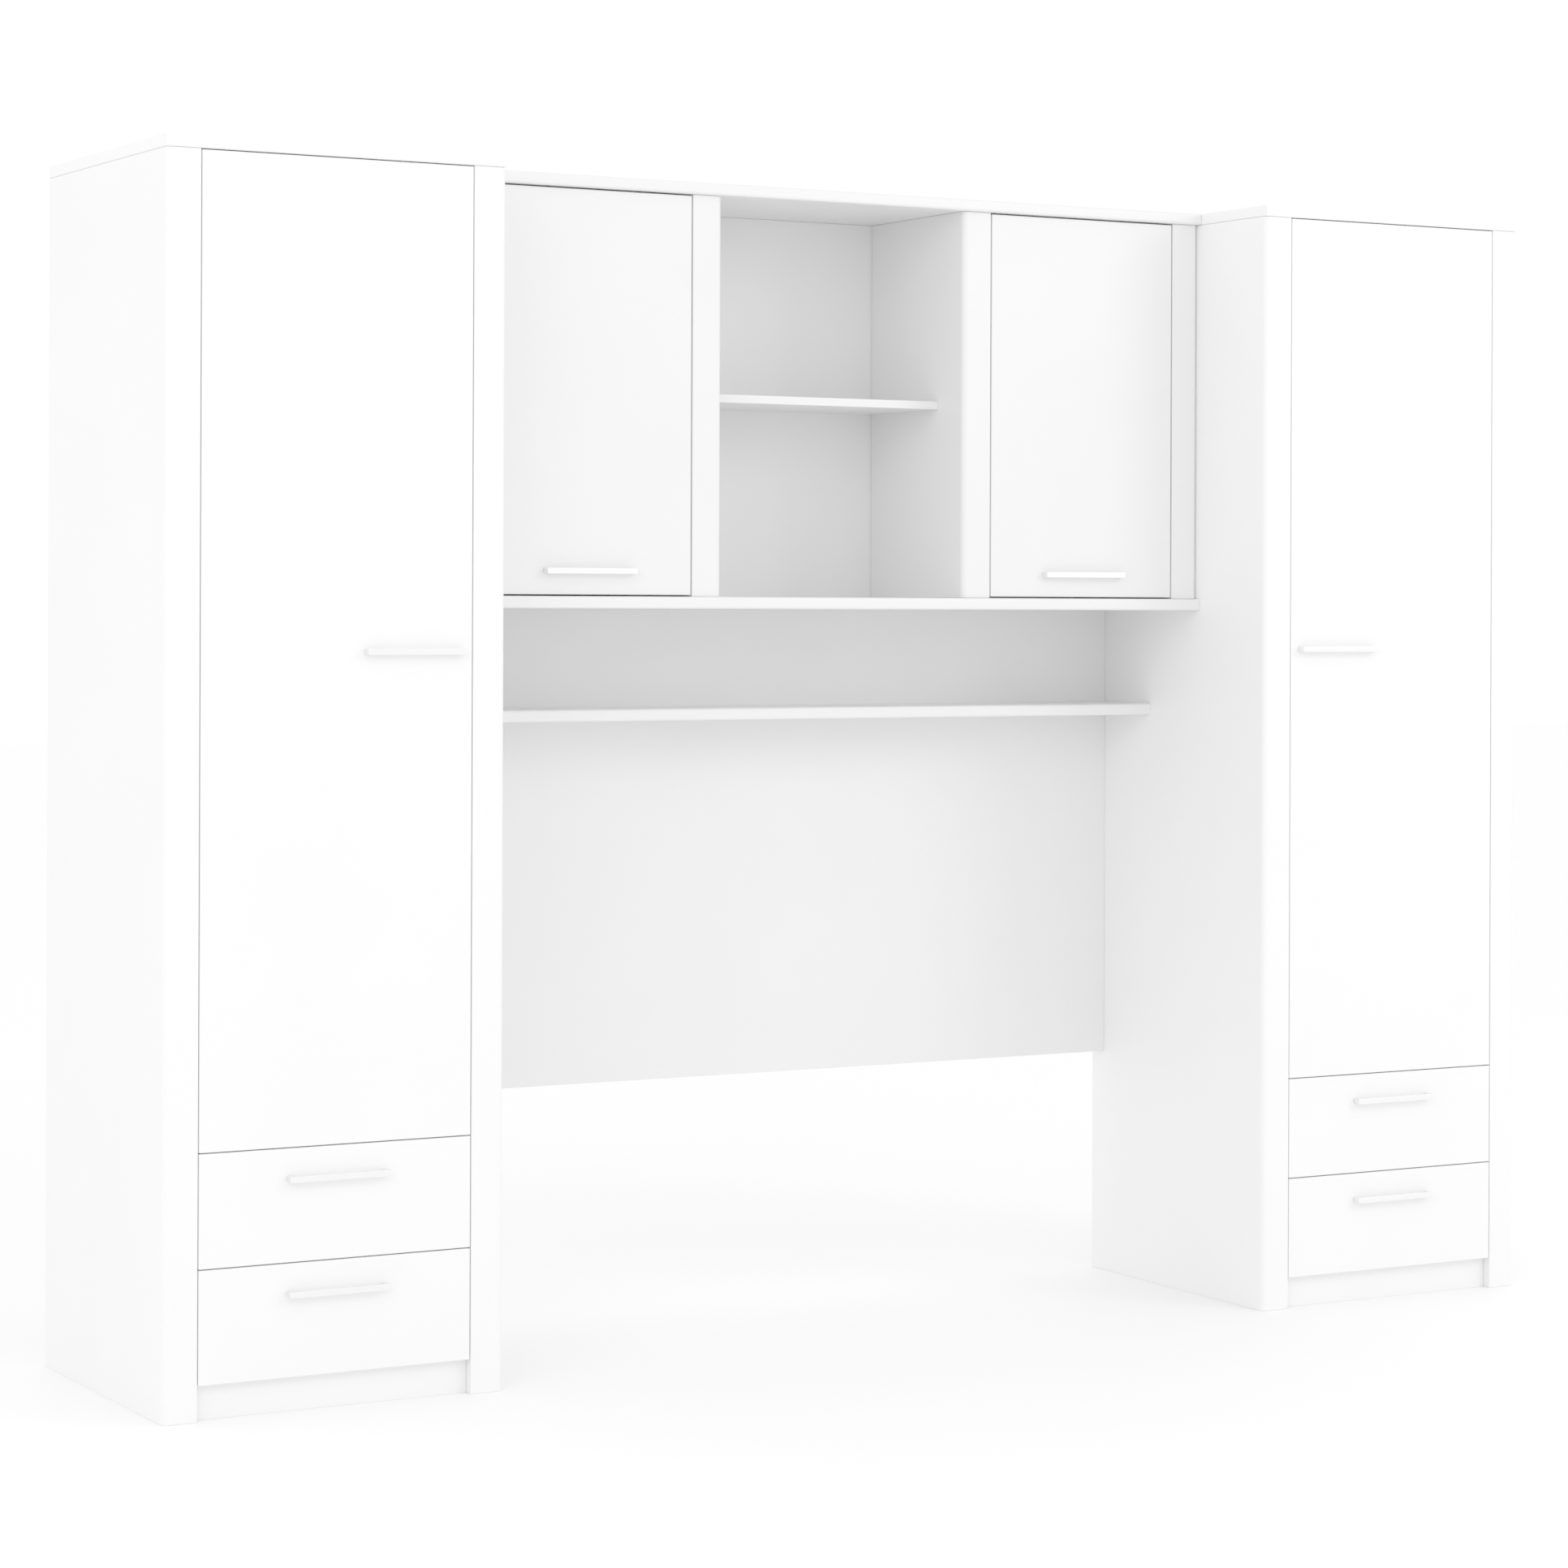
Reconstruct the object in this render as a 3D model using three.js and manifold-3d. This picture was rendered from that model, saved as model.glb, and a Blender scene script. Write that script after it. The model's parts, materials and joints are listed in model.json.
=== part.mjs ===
// Over-bed storage unit: two tall wardrobes joined by a bridge cabinet, with a headboard panel
// and a shelf below the bridge. Millimetres, +Z up. The front of the unit faces -Y. The origin
// lies on the floor, at the middle of the unit's outer box.

import * as THREE from "three";
import { mergeVertices } from "three/addons/utils/BufferGeometryUtils.js";
import Module from "manifold-3d";

const wasm = await Module();
wasm.setup();

// ---- driving dimensions: the whole unit ----
const unitHeight = 2100;
const unitDepth = 580; // from the wardrobes' front face to the wall
const doorOpeningWidth = 490; // between a wardrobe's two sides
const sideThickness = 60; // light boards with a honeycomb core
const bridgeLength = 1590; // between the wardrobes: the room for the bed
const bridgeSetback = 221; // from the wardrobes' front face to the flaps
const bridgeUnderside = 1329; // above the floor
const flapBayWidth = 417;

// ---- boards ----
const boardThickness = 22; // top boards, bridge boards, headboard and its shelf
const shelfBoardThickness = 16; // boards inside the wardrobes, plinth, bridge back
const frontThickness = 19; // doors, flaps and drawer fronts
const hardboardThickness = 6; // wardrobe back panels
const boardOverhang = 3; // of the top boards, past the wardrobes' fronts
const bridgeBoardOverhang = 11; // of the bridge's two boards, past its front
const cornerRadius = 11; // outer front corner of each side
const edgeRadius = 5; // front edges of the visible boards
const arrisRadius = 1.5; // edges of the doors and drawer fronts
const topBoardSoftness = 3; // edges of the wardrobes' top boards
const topBoardCorner = 3; // their corners in plan, inside that softness
const backInset = 3; // from the back panels to the wall

// ---- gaps ----
const joint = 0.3; // between pieces that touch
const wardrobeGap = 2; // round and between doors and drawer fronts
const flapGap = 3; // round the flaps
const drawerStandoff = 1; // from the inside boards to the back of the fronts

// ---- wardrobe heights, measured from the floor ----
const plinthHeight = 58; // also the middle of the gap under the lower drawer
const plinthSetback = 18;
const drawerPitch = 190; // height of one drawer front with its gap
const hatShelfDrop = 300; // from the top board to the hat shelf
const hatShelfSetback = 30; // behind the door

// ---- hanging rail: an oval tube ----
const railHeight = 30;
const railWidth = 15;
const railWall = 1.2;
const railDrop = 55; // from the hat shelf to the middle of the rail
const railEndPlay = 2;

// ---- drawers ----
const runnerHeight = 45;
const runnerDepth = 9.5;
const runnerMetal = 1.6;
const runnerLength = 450;
const runnerClearance = 13.2; // from the side to the drawer box
const drawerSideThickness = 12;
const drawerBaseThickness = 8;
const drawerBoxHeight = 140;
const drawerBoxLift = 18; // from the front's lower edge to the box
const drawerBoxDepth = 460;

// ---- bar handles ----
const handleLength = 180;
const handleHeight = 10.5;
const handleBarDepth = 6;
const handleLegWidth = 9;
const handleProjection = 18;
const handleCornerRadius = 1.5;
const handleBevel = 0.8;
const doorHandleHeight = 1256; // above the floor
const doorHandleEdge = 17; // from the door's opening edge to the handle
const drawerHandleDrop = 50; // from the front's upper edge to the handle
const flapHandleRise = 42; // from the flap's lower edge to the handle

// ---- hinges ----
const hingeInset = 100; // from the door's end to the hinge
const hingePlateLength = 52;
const hingePlateHeight = 44;
const hingePlateThickness = 3;
const hingeArmHeight = 18;
const hingeArmThickness = 11;
const hingeArmLength = 62;

// ---- bridge and headboard ----
const bayShelfThickness = 15;
const bayShelfTop = 1724;
const bayShelfSetback = 91; // behind the bridge's front
const bridgeBackInset = 3;
const headboardFront = 537; // behind the wardrobes' front face
const headboardBottom = 441;
const headboardShelfTop = 1144.5;
const headboardShelfDepth = 161;

// ---- places that follow ----
const wardrobeWidth = doorOpeningWidth + 2 * sideThickness;
const halfBridge = bridgeLength / 2;
const halfUnit = halfBridge + wardrobeWidth;
const frontY = (handleProjection - unitDepth) / 2; // wardrobes' front face
const wallY = frontY + unitDepth;
const topBoardUnderside = unitHeight - boardThickness;
const sideTop = topBoardUnderside - joint;
const hardboardFrontY = wallY - backInset - hardboardThickness;
const insideBoardFrontY = frontY + frontThickness + drawerStandoff;
const drawerTopGapZ = plinthHeight + 2 * drawerPitch; // middle of the gap under the door
const floorTop = plinthHeight + shelfBoardThickness;
const drawerShelfBottom = drawerTopGapZ - shelfBoardThickness / 2;
const hatShelfBottom = topBoardUnderside - hatShelfDrop;
const hatShelfTop = hatShelfBottom + shelfBoardThickness;
const hatShelfDepth = [insideBoardFrontY + hatShelfSetback, hardboardFrontY - joint];
const railY = (insideBoardFrontY + hardboardFrontY) / 2;
const railZ = hatShelfBottom - railDrop;
const bridgeFrontY = frontY + bridgeSetback;
const bridgeFloorTop = bridgeUnderside + boardThickness;
const flapBottom = bridgeFloorTop + flapGap;
const bridgeBackFrontY = wallY - bridgeBackInset - shelfBoardThickness;
const flapBayOuter = halfBridge - sideThickness; // from the middle to a flap bay's outer side
const dividerOuter = flapBayOuter - flapBayWidth;
const dividerInner = dividerOuter - sideThickness;

// ---- materials ----
const whiteBoard = () => new THREE.MeshStandardMaterial({ color: 0xf4f3f1, roughness: 0.45 });
const innerBoard = () => new THREE.MeshStandardMaterial({ color: 0xeceae6, roughness: 0.55 });
const satinAluminium = () =>
  new THREE.MeshStandardMaterial({ color: 0xb9babb, roughness: 0.35, metalness: 1 });
const steel = () => new THREE.MeshStandardMaterial({ color: 0xa9abad, roughness: 0.4, metalness: 1 });

const unit = new THREE.Group();

function add(name, geometry, material) {
  const mesh = new THREE.Mesh(geometry, material);
  mesh.name = name;
  unit.add(mesh);
}

// ---- solids for cutting and joining ----
function toSolid(geometry) {
  const bare = geometry.clone();
  bare.deleteAttribute("normal");
  bare.deleteAttribute("uv");
  const merged = mergeVertices(bare, 1e-4);
  return new wasm.Manifold(
    new wasm.Mesh({
      numProp: 3,
      vertProperties: new Float32Array(merged.attributes.position.array),
      triVerts: new Uint32Array(merged.index.array),
    })
  );
}

function toGeometry(solid) {
  const mesh = solid.getMesh();
  const geometry = new THREE.BufferGeometry();
  geometry.setAttribute("position", new THREE.BufferAttribute(mesh.vertProperties, 3));
  geometry.setIndex(new THREE.BufferAttribute(mesh.triVerts, 1));
  return geometry;
}

// ---- shapes ----
// A box given by its two ends along each axis, in either order.
function box([xa, xb], [ya, yb], [za, zb]) {
  const geometry = new THREE.BoxGeometry(Math.abs(xb - xa), Math.abs(yb - ya), Math.abs(zb - za));
  return geometry.translate((xa + xb) / 2, (ya + yb) / 2, (za + zb) / 2);
}

// A rectangle whose corners have the radii given, anticlockwise from the low corner.
function roundedRectangle([x0, x1], [y0, y1], [r00, r10, r11, r01]) {
  const quarter = Math.PI / 2;
  const corners = [
    [x0 + r00, y0 + r00, r00, 2 * quarter],
    [x1 - r10, y0 + r10, r10, 3 * quarter],
    [x1 - r11, y1 - r11, r11, 0],
    [x0 + r01, y1 - r01, r01, quarter],
  ];
  const shape = new THREE.Shape();
  for (const [x, y, radius, start] of corners) {
    if (radius > 0) shape.absarc(x, y, radius, start, start + quarter, false);
    else if (shape.curves.length === 0 && shape.currentPoint.length() === 0) shape.moveTo(x, y);
    else shape.lineTo(x, y);
  }
  shape.closePath();
  return shape;
}

const sorted = (ends) => [Math.min(...ends), Math.max(...ends)];

// An upright panel whose front corner is rounded on one side: -1 is its low x side, 1 its high.
function uprightPanel(xs, ys, [z0, z1], roundedSide) {
  const radii = [arrisRadius, arrisRadius, 0, 0];
  radii[roundedSide < 0 ? 0 : 1] = cornerRadius;
  const plan = roundedRectangle(sorted(xs), ys, radii);
  const geometry = new THREE.ExtrudeGeometry(plan, { depth: z1 - z0, bevelEnabled: false, curveSegments: 6 });
  return geometry.translate(0, 0, z0);
}

// A section drawn in Y and Z, extruded from one place along X to another.
function extrudeAlongX(section, [x0, x1], curveSegments) {
  const geometry = new THREE.ExtrudeGeometry(section, { depth: x1 - x0, bevelEnabled: false, curveSegments });
  const axes = [new THREE.Vector3(0, 1, 0), new THREE.Vector3(0, 0, 1), new THREE.Vector3(1, 0, 0)];
  geometry.applyMatrix4(new THREE.Matrix4().makeBasis(...axes));
  return geometry.translate(x0, 0, 0);
}

// A lying board with its two front edges rounded.
function lyingBoard(xs, ys, zs) {
  const section = roundedRectangle(ys, zs, [edgeRadius, 0, 0, edgeRadius]);
  return extrudeAlongX(section, sorted(xs), 5);
}

// A rectangle in plan with softened edges above and below.
function softSlab(xs, ys, [z0, z1], soft, corner) {
  const [x0, x1] = sorted(xs);
  const inner = [x0 + soft, x1 - soft];
  const plan = roundedRectangle(inner, [ys[0] + soft, ys[1] - soft], [corner, corner, corner, corner]);
  const geometry = new THREE.ExtrudeGeometry(plan, {
    depth: z1 - z0 - 2 * soft,
    bevelThickness: soft,
    bevelSize: soft,
    bevelSegments: 3,
    curveSegments: 3,
  });
  return geometry.translate(0, 0, z0 + soft);
}

// An upright front with softened edges: a slab stood on its edge.
function frontPanel(xs, [y0, y1], zs) {
  const slab = softSlab(xs, zs, [-y1, -y0], arrisRadius, 0);
  return slab.rotateX(Math.PI / 2);
}

// A bar handle: a bar on two short legs. The bar lies along X, the legs' feet are on y = 0.
function barHandle() {
  const outer = handleLength / 2 - handleBevel;
  const inner = handleLength / 2 - handleLegWidth + handleBevel;
  const front = joint - handleProjection + 2 * handleBevel;
  const back = joint - handleProjection + handleBarDepth;
  const turn = handleCornerRadius;
  const plan = new THREE.Shape();
  plan.moveTo(-outer, 0);
  plan.lineTo(-outer, front + turn);
  plan.absarc(-outer + turn, front + turn, turn, Math.PI, 1.5 * Math.PI, false);
  plan.absarc(outer - turn, front + turn, turn, 1.5 * Math.PI, 2 * Math.PI, false);
  plan.lineTo(outer, 0);
  plan.lineTo(inner, 0);
  plan.lineTo(inner, back);
  plan.lineTo(-inner, back);
  plan.lineTo(-inner, 0);
  plan.closePath();
  const geometry = new THREE.ExtrudeGeometry(plan, {
    depth: handleHeight - 2 * handleBevel,
    bevelThickness: handleBevel,
    bevelSize: handleBevel,
    bevelSegments: 2,
    curveSegments: 4,
  });
  return geometry.translate(0, -handleBevel, handleBevel - handleHeight / 2);
}

// ---- pieces ----
function addBoard(name, xs, ys, zs) {
  add(name, box(xs, ys, zs), innerBoard());
}

function addFront(name, xs, faceY, zs) {
  add(name, frontPanel(xs, [faceY, faceY + frontThickness], zs), whiteBoard());
}

function addHandle(name, x, faceY, z) {
  add(name, barHandle().translate(x, faceY - joint, z), satinAluminium());
}

// A drawer box: a block with its inside cut out from above.
function drawerBox(xs, [y0, y1], [z0, z1]) {
  const [x0, x1] = sorted(xs);
  const wall = drawerSideThickness;
  const inside = box([x0 + wall, x1 - wall], [y0 + wall, y1 - wall], [z0 + drawerBaseThickness, z1 + wall]);
  return toGeometry(toSolid(box([x0, x1], [y0, y1], [z0, z1])).subtract(toSolid(inside)));
}

// A runner: a channel along the side of the drawer, open towards the drawer. openTo is the
// direction along X from the side panel to the drawer.
function runner(panelX, openTo, y0, z) {
  const web = panelX + openTo * joint;
  const lip = web + openTo * runnerDepth;
  const length = [y0, y0 + runnerLength];
  const half = runnerHeight / 2;
  const metal = runnerMetal;
  const outer = box([web, lip], length, [z - half, z + half]);
  const beyond = [y0 - metal, y0 + runnerLength + metal];
  const channel = box([web + openTo * metal, lip + openTo * metal], beyond, [z - half + metal, z + half - metal]);
  return toGeometry(toSolid(outer).subtract(toSolid(channel)));
}

// A concealed hinge's fixed part: a plate on the side panel with the hinge arm on it.
function hingeArm(panelX, openTo, z) {
  const plateFace = panelX + openTo * joint;
  const armFace = plateFace + openTo * hingePlateThickness;
  const y0 = insideBoardFrontY + drawerStandoff;
  const y1 = y0 + hingeArmLength;
  const halfPlate = hingePlateHeight / 2;
  const halfArm = hingeArmHeight / 2;
  const overlap = hingePlateThickness / 2;
  const plate = box([plateFace, armFace], [y1 - hingePlateLength, y1], [z - halfPlate, z + halfPlate]);
  const armXs = [armFace - openTo * overlap, armFace + openTo * hingeArmThickness];
  const arm = box(armXs, [y0, y1 - hingePlateThickness], [z - halfArm, z + halfArm]);
  return toGeometry(toSolid(plate).add(toSolid(arm)));
}

// The hanging rail: an oval tube along X, open at both ends.
function ovalTube(xs, y, z) {
  const oval = (path, height, width) => {
    const radius = width / 2;
    const straight = height / 2 - radius;
    path.absarc(0, straight, radius, 0, Math.PI, false);
    path.absarc(0, -straight, radius, Math.PI, 2 * Math.PI, false);
    path.closePath();
    return path;
  };
  const section = oval(new THREE.Shape(), railHeight, railWidth);
  section.holes.push(oval(new THREE.Path(), railHeight - 2 * railWall, railWidth - 2 * railWall));
  return extrudeAlongX(section, sorted(xs), 10).translate(0, y, z);
}

// ---- wardrobe ----
// side is -1 for the left wardrobe and 1 for the right one.
function addWardrobe(name, side) {
  const outerX = side * halfUnit;
  const innerX = side * halfBridge;
  const openOuter = outerX - side * sideThickness;
  const openInner = innerX + side * sideThickness;
  const across = (clearance) => [openOuter - side * clearance, openInner + side * clearance];
  const insideDepth = [insideBoardFrontY, hardboardFrontY - joint];
  const sideDepth = [frontY, wallY];

  // carcass
  const sideHeight = [0, sideTop];
  add(`${name}_side_outer`, uprightPanel([outerX, openOuter], sideDepth, sideHeight, side), whiteBoard());
  add(`${name}_side_inner`, uprightPanel([innerX, openInner], sideDepth, sideHeight, -side), whiteBoard());
  const topDepth = [frontY - boardOverhang, wallY];
  const topHeights = [topBoardUnderside, unitHeight];
  const topBoard = softSlab([outerX, innerX], topDepth, topHeights, topBoardSoftness, topBoardCorner);
  add(`${name}_top_board`, topBoard, whiteBoard());
  addBoard(`${name}_floor_board`, across(joint), insideDepth, [plinthHeight, floorTop]);
  const drawerShelfHeights = [drawerShelfBottom, drawerShelfBottom + shelfBoardThickness];
  addBoard(`${name}_drawer_shelf`, across(joint), insideDepth, drawerShelfHeights);
  addBoard(`${name}_hat_shelf`, across(joint), hatShelfDepth, [hatShelfBottom, hatShelfTop]);
  const plinthFront = frontY + plinthSetback;
  const plinthDepth = [plinthFront, plinthFront + shelfBoardThickness];
  add(`${name}_plinth`, box(across(joint), plinthDepth, [0, plinthHeight - joint]), whiteBoard());
  const hardboardDepth = [hardboardFrontY, hardboardFrontY + hardboardThickness];
  addBoard(`${name}_back_panel`, across(joint), hardboardDepth, [plinthHeight, sideTop]);
  add(`${name}_hanging_rail`, ovalTube(across(railEndPlay), railY, railZ), steel());

  // door, hinged on its outer edge
  const frontXs = across(wardrobeGap);
  const doorHeights = [drawerTopGapZ + wardrobeGap / 2, topBoardUnderside - wardrobeGap];
  addFront(`${name}_door`, frontXs, frontY, doorHeights);
  const openingEdgeX = openInner + side * wardrobeGap;
  const doorHandleX = openingEdgeX + side * (doorHandleEdge + handleLength / 2);
  addHandle(`${name}_door_handle`, doorHandleX, frontY, doorHandleHeight);
  const hingeHeights = { lower: doorHeights[0] + hingeInset, upper: doorHeights[1] - hingeInset };
  for (const [level, z] of Object.entries(hingeHeights)) {
    add(`${name}_door_hinge_${level}`, hingeArm(openOuter, -side, z), steel());
  }

  // drawers
  for (const [index, level] of ["lower", "upper"].entries()) {
    const drawer = `${name}_drawer_${level}`;
    const front0 = plinthHeight + index * drawerPitch + wardrobeGap / 2;
    const front1 = front0 + drawerPitch - wardrobeGap;
    addFront(`${drawer}_front`, frontXs, frontY, [front0, front1]);
    addHandle(`${drawer}_handle`, (openOuter + openInner) / 2, frontY, front1 - drawerHandleDrop);
    const box0 = front0 + drawerBoxLift;
    const boxY = frontY + frontThickness + joint;
    const boxHeights = [box0, box0 + drawerBoxHeight];
    const boxDepth = [boxY, boxY + drawerBoxDepth];
    add(`${drawer}_box`, drawerBox(across(runnerClearance), boxDepth, boxHeights), innerBoard());
    const runnerZ = box0 + drawerBoxHeight / 2;
    const runnerY = insideBoardFrontY + drawerStandoff;
    add(`${drawer}_runner_outer`, runner(openOuter, -side, runnerY, runnerZ), steel());
    add(`${drawer}_runner_inner`, runner(openInner, side, runnerY, runnerZ), steel());
  }
}

// ---- bridge cabinet ----
function addBridge() {
  const whole = [-halfBridge + joint, halfBridge - joint];
  const boardDepth = [bridgeFrontY - bridgeBoardOverhang, wallY];
  add("bridge_bottom_board", lyingBoard(whole, boardDepth, [bridgeUnderside, bridgeFloorTop]), whiteBoard());
  add("bridge_top_board", lyingBoard(whole, boardDepth, [topBoardUnderside, unitHeight]), whiteBoard());
  const heights = [bridgeFloorTop + joint, sideTop];
  const panelDepth = [bridgeFrontY, bridgeBackFrontY - joint];
  for (const [name, side] of [["left", -1], ["right", 1]]) {
    const end = [side * (halfBridge - joint), side * flapBayOuter];
    const divider = [side * dividerOuter, side * dividerInner];
    add(`bridge_end_${name}`, uprightPanel(end, panelDepth, heights, side), whiteBoard());
    add(`bridge_divider_${name}`, uprightPanel(divider, panelDepth, heights, -side), whiteBoard());
    const flapXs = [side * (flapBayOuter - flapGap), side * (dividerOuter + flapGap)];
    addFront(`${name}_flap`, flapXs, bridgeFrontY, [flapBottom, topBoardUnderside - flapGap]);
    addHandle(`${name}_flap_handle`, (flapXs[0] + flapXs[1]) / 2, bridgeFrontY, flapBottom + flapHandleRise);
  }
  const backDepth = [bridgeBackFrontY, bridgeBackFrontY + shelfBoardThickness];
  add("bridge_back_panel", box(whole, backDepth, heights), whiteBoard());
  const shelfXs = [-dividerInner + joint, dividerInner - joint];
  const shelfDepth = [bridgeFrontY + bayShelfSetback, bridgeBackFrontY - joint];
  add("bridge_bay_shelf", box(shelfXs, shelfDepth, [bayShelfTop - bayShelfThickness, bayShelfTop]), whiteBoard());
}

// ---- headboard ----
function addHeadboard() {
  const whole = [-halfBridge + joint, halfBridge - joint];
  const panelY = frontY + headboardFront;
  const panelDepth = [panelY, panelY + boardThickness];
  add("headboard_panel", box(whole, panelDepth, [headboardBottom, bridgeUnderside - joint]), whiteBoard());
  const shelfDepth = [panelY - headboardShelfDepth, panelY - joint];
  const shelfHeights = [headboardShelfTop - boardThickness, headboardShelfTop];
  add("headboard_shelf", lyingBoard(whole, shelfDepth, shelfHeights), whiteBoard());
}

addWardrobe("left", -1);
addWardrobe("right", 1);
addBridge();
addHeadboard();

export default unit;
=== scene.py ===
# %% [markdown]
# # An over-bed wardrobe unit in white melamine
#
# Two tall wardrobes carry a bridge cabinet between them, and a headboard panel with a shelf
# closes the wall below it. Nearly everything on the real thing is a flat board: chipboard
# faced with melamine, with plastic edging on its cut edges. Flat boards look convincing when
# three things are right: small rounded edges that catch the light, thin even gaps between the
# fronts, and the small metal fittings that hold the boards together.
#
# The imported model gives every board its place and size. This script gives each one its fine
# edges and its finish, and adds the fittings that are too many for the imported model.

# %% The frame
import json
import math

import bmesh
import bpy
from mathutils import Matrix, Vector

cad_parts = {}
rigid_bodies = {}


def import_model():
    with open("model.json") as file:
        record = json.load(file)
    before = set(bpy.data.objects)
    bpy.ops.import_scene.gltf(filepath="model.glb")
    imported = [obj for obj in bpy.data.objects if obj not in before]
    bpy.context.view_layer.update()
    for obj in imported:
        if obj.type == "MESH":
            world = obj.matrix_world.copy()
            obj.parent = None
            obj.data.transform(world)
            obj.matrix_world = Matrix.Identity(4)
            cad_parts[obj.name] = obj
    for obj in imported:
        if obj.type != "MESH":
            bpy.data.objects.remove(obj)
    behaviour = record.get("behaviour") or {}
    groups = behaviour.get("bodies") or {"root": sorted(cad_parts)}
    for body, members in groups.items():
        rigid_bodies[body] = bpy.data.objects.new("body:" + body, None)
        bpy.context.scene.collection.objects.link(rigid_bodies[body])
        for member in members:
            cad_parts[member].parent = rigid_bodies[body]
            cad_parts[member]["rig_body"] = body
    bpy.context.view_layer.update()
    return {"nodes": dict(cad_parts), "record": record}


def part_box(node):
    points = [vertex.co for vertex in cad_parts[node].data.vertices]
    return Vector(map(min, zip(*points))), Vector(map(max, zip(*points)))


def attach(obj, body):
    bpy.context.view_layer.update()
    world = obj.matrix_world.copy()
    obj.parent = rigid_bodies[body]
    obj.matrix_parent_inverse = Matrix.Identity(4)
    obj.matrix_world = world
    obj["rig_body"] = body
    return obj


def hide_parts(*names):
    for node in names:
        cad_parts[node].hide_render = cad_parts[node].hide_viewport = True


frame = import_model()
nodes = frame["nodes"]
MM = 0.001

# %% [markdown]
# ## The camera
#
# A tall piece of furniture looks upright when the camera is level, so the camera isn't tilted.
# It stands at breast height to the left of the unit, and the lens is shifted a little to bring
# the whole unit into view. A long lens keeps the perspective calm. The very small roll is a
# camera that isn't quite level.

# %% The camera
CAMERA_TURN = math.radians(29.45)  # to the right of the unit's own depth direction
CAMERA_ROLL = math.radians(0.206)
CAMERA_PLACE = Vector((-3.6765, -6.346, 1.3342))
LENS = 90.56  # mm, on a sensor 36 mm wide
LENS_SHIFT = -0.1133


def add_camera():
    data = bpy.data.cameras.new("camera")
    data.sensor_width = 36.0
    data.lens = LENS
    data.shift_y = LENS_SHIFT
    data.clip_end = 100.0
    camera = bpy.data.objects.new("camera", data)
    level = Matrix.Rotation(-CAMERA_TURN, 4, "Z") @ Matrix.Rotation(math.pi / 2, 4, "X")
    roll = Matrix.Rotation(CAMERA_ROLL, 4, "Z")
    camera.matrix_world = Matrix.Translation(CAMERA_PLACE) @ level @ roll
    bpy.context.scene.collection.objects.link(camera)
    bpy.context.scene.camera = camera


add_camera()
print("camera stands", round(-CAMERA_PLACE.y, 2), "m in front of the unit's middle")

# %% [markdown]
# ## Colours and nodes
#
# Colours are picked on a screen as sRGB hex values, but a shader works in linear light. One
# function does that step. A second small function adds a shader node, sets it up and joins
# its inputs, so that each material below reads as a short list.


# %% Colours and nodes
def linear(hex_colour):
    """An sRGB colour such as "#f2f2f2" as the linear colour that shaders use."""
    channels = [int(hex_colour[i : i + 2], 16) / 255 for i in (1, 3, 5)]
    curve = [c / 12.92 if c <= 0.04045 else ((c + 0.055) / 1.055) ** 2.4 for c in channels]
    return (*curve, 1.0)


def add_node(tree, kind, inputs=None, **settings):
    """Adds a node, sets its properties, and links or sets its inputs by name."""
    node = tree.nodes.new(kind)
    for name, value in settings.items():
        setattr(node, name, value)
    for name, value in (inputs or {}).items():
        if isinstance(value, bpy.types.NodeSocket):
            tree.links.new(value, node.inputs[name])
        else:
            node.inputs[name].default_value = value
    return node


def per_metre(millimetres):
    """A texture scale whose features are about this size."""
    return 1.0 / (millimetres * MM)


def new_material(name, **surface):
    """A material with one Principled shader. Gives the material, its tree and the shader."""
    material = bpy.data.materials.new(name)
    material.use_nodes = True
    tree = material.node_tree
    tree.nodes.clear()
    inputs = {label.replace("_", " "): value for label, value in surface.items()}
    shader = add_node(tree, "ShaderNodeBsdfPrincipled", inputs)
    add_node(tree, "ShaderNodeOutputMaterial", {"Surface": shader.outputs["BSDF"]})
    return material, tree, shader


def place_of(tree):
    """The point on the surface, in metres, in the object's own frame."""
    return add_node(tree, "ShaderNodeTexCoord").outputs["Object"]


def noise(tree, vector, size_mm, detail=2.0):
    """Soft noise with features of a real size."""
    inputs = {"Vector": vector, "Scale": per_metre(size_mm), "Detail": detail}
    return add_node(tree, "ShaderNodeTexNoise", inputs).outputs["Fac"]


def remap(tree, value, low, high):
    """Spreads the middle of a noise over a range."""
    inputs = {"Value": value, "From Min": 0.3, "From Max": 0.7, "To Min": low, "To Max": high}
    return add_node(tree, "ShaderNodeMapRange", inputs).outputs["Result"]


def tint(tree, factor, first, second):
    """A colour between two, by a factor."""
    mix = add_node(tree, "ShaderNodeMix", {"Factor": factor}, data_type="RGBA")
    mix.inputs[6].default_value = linear(first)
    mix.inputs[7].default_value = linear(second)
    return mix.outputs[2]


print("mid grey #808080 in linear light:", round(linear("#808080")[0], 3))

# %% [markdown]
# ## Melamine-faced chipboard
#
# The boards are chipboard with a melamine film pressed on in a textured press plate. The film
# is hard, satin and a very even white. Its "pearl" emboss is a field of bumps about 1.5 mm
# across. They are far too fine to see from across a room, but they spread the highlights.
# Pressed board is never dead flat either, so a second wave, a few centimetres long and very
# shallow, keeps large reflections from looking like a mirror's.
#
# The bridge and the headboard are a shade greyer than the wardrobes, so there are two whites: the
# greyer one is painted shade, a darker copy of the same white for the boards that sit in the recess
# between the two wardrobes and under the bridge. The boards inside are plainer and more matt.


# %% Melamine
PEARL_MM = 1.5  # emboss of the outer boards
PLAIN_EMBOSS_MM = 2.2  # emboss of the plainer boards inside
PRESS_WAVE_MM = 45
CLOUD_MM = 260


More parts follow.
